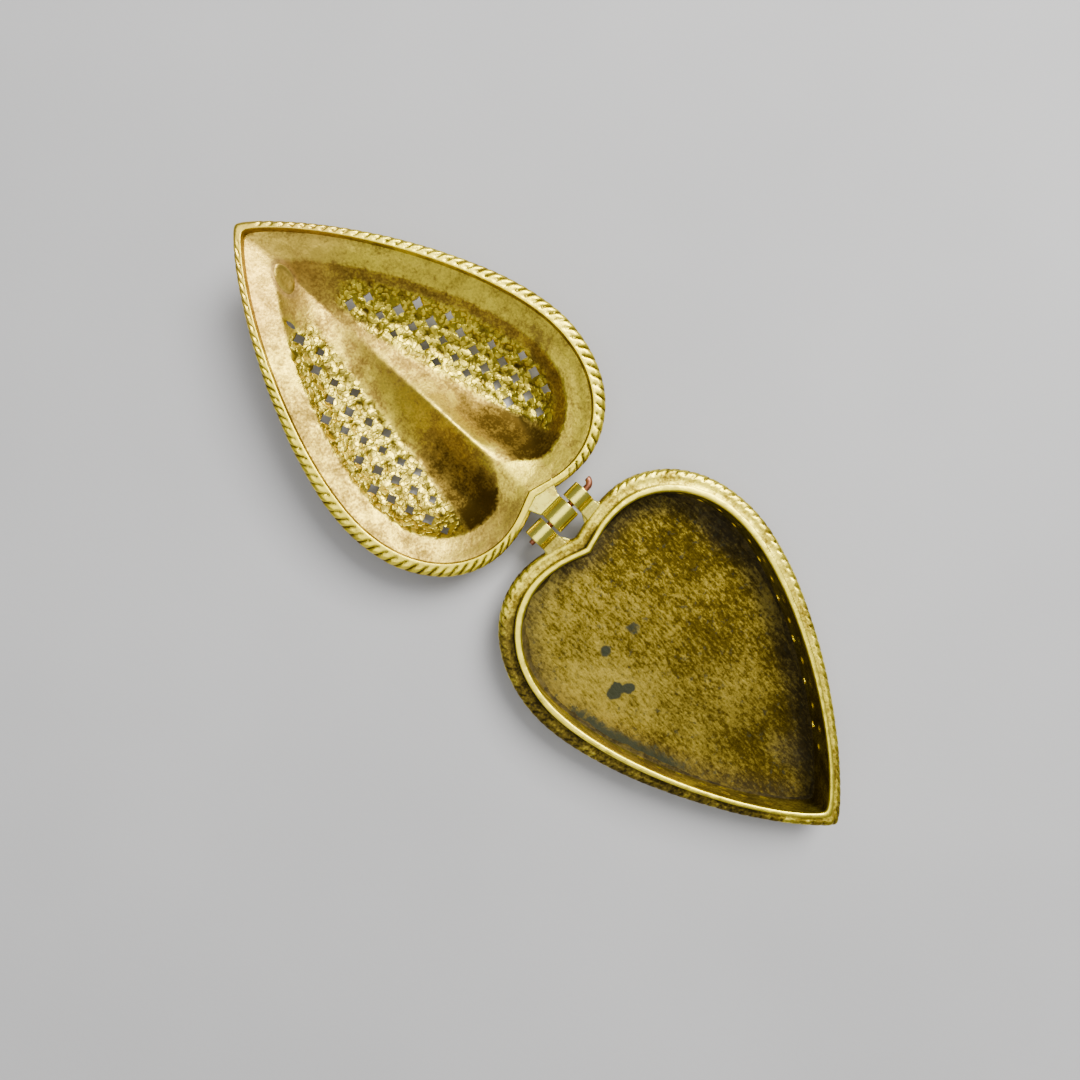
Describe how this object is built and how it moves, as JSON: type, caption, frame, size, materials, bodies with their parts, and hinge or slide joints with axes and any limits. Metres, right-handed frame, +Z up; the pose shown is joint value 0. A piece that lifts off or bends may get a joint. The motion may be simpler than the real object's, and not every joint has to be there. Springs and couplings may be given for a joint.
{
  "type": "heart-shaped trinket box",
  "caption": "Small cast-brass trinket box in a pointed heart shape, with a hinged, pierced, double-domed lid and a pierced side wall; it holds rings and other small jewellery.",
  "frame": {"origin": "on the flat underside of the base, midway between the hinge and the tip", "axes": "+Z up from the table, +Y along the base's own axis from its pointed tip towards the hinge and the open lid, +X to the right"},
  "size_m": [0.0843, 0.2211, 0.0256],
  "materials": {
    "cast_brass": "aged satin casting",
    "sheet_brass": "brushed, dark mottled patina",
    "worn_brass": "worn satin",
    "lid_brass": "aged casting, paler where pierced",
    "copper_wire": "dull reddish wire"
  },
  "bodies": {
    "base": {"base_wall": "cast_brass", "base_floor": "sheet_brass", "hinge_ear_left": "worn_brass", "hinge_ear_right": "worn_brass", "hinge_pin": "copper_wire"},
    "lid": {"lid_shell": "lid_brass", "lid_patch": "lid_brass", "lid_knuckle": "worn_brass"}
  },
  "joints": [
    {"name": "lid_hinge", "type": "hinge", "parent": "base", "child": "lid", "pos_m": [0, 0.0555, 0.013], "axis": [0.9988, 0.0497, 0], "range_deg": [0, 173.4]}
  ]
}
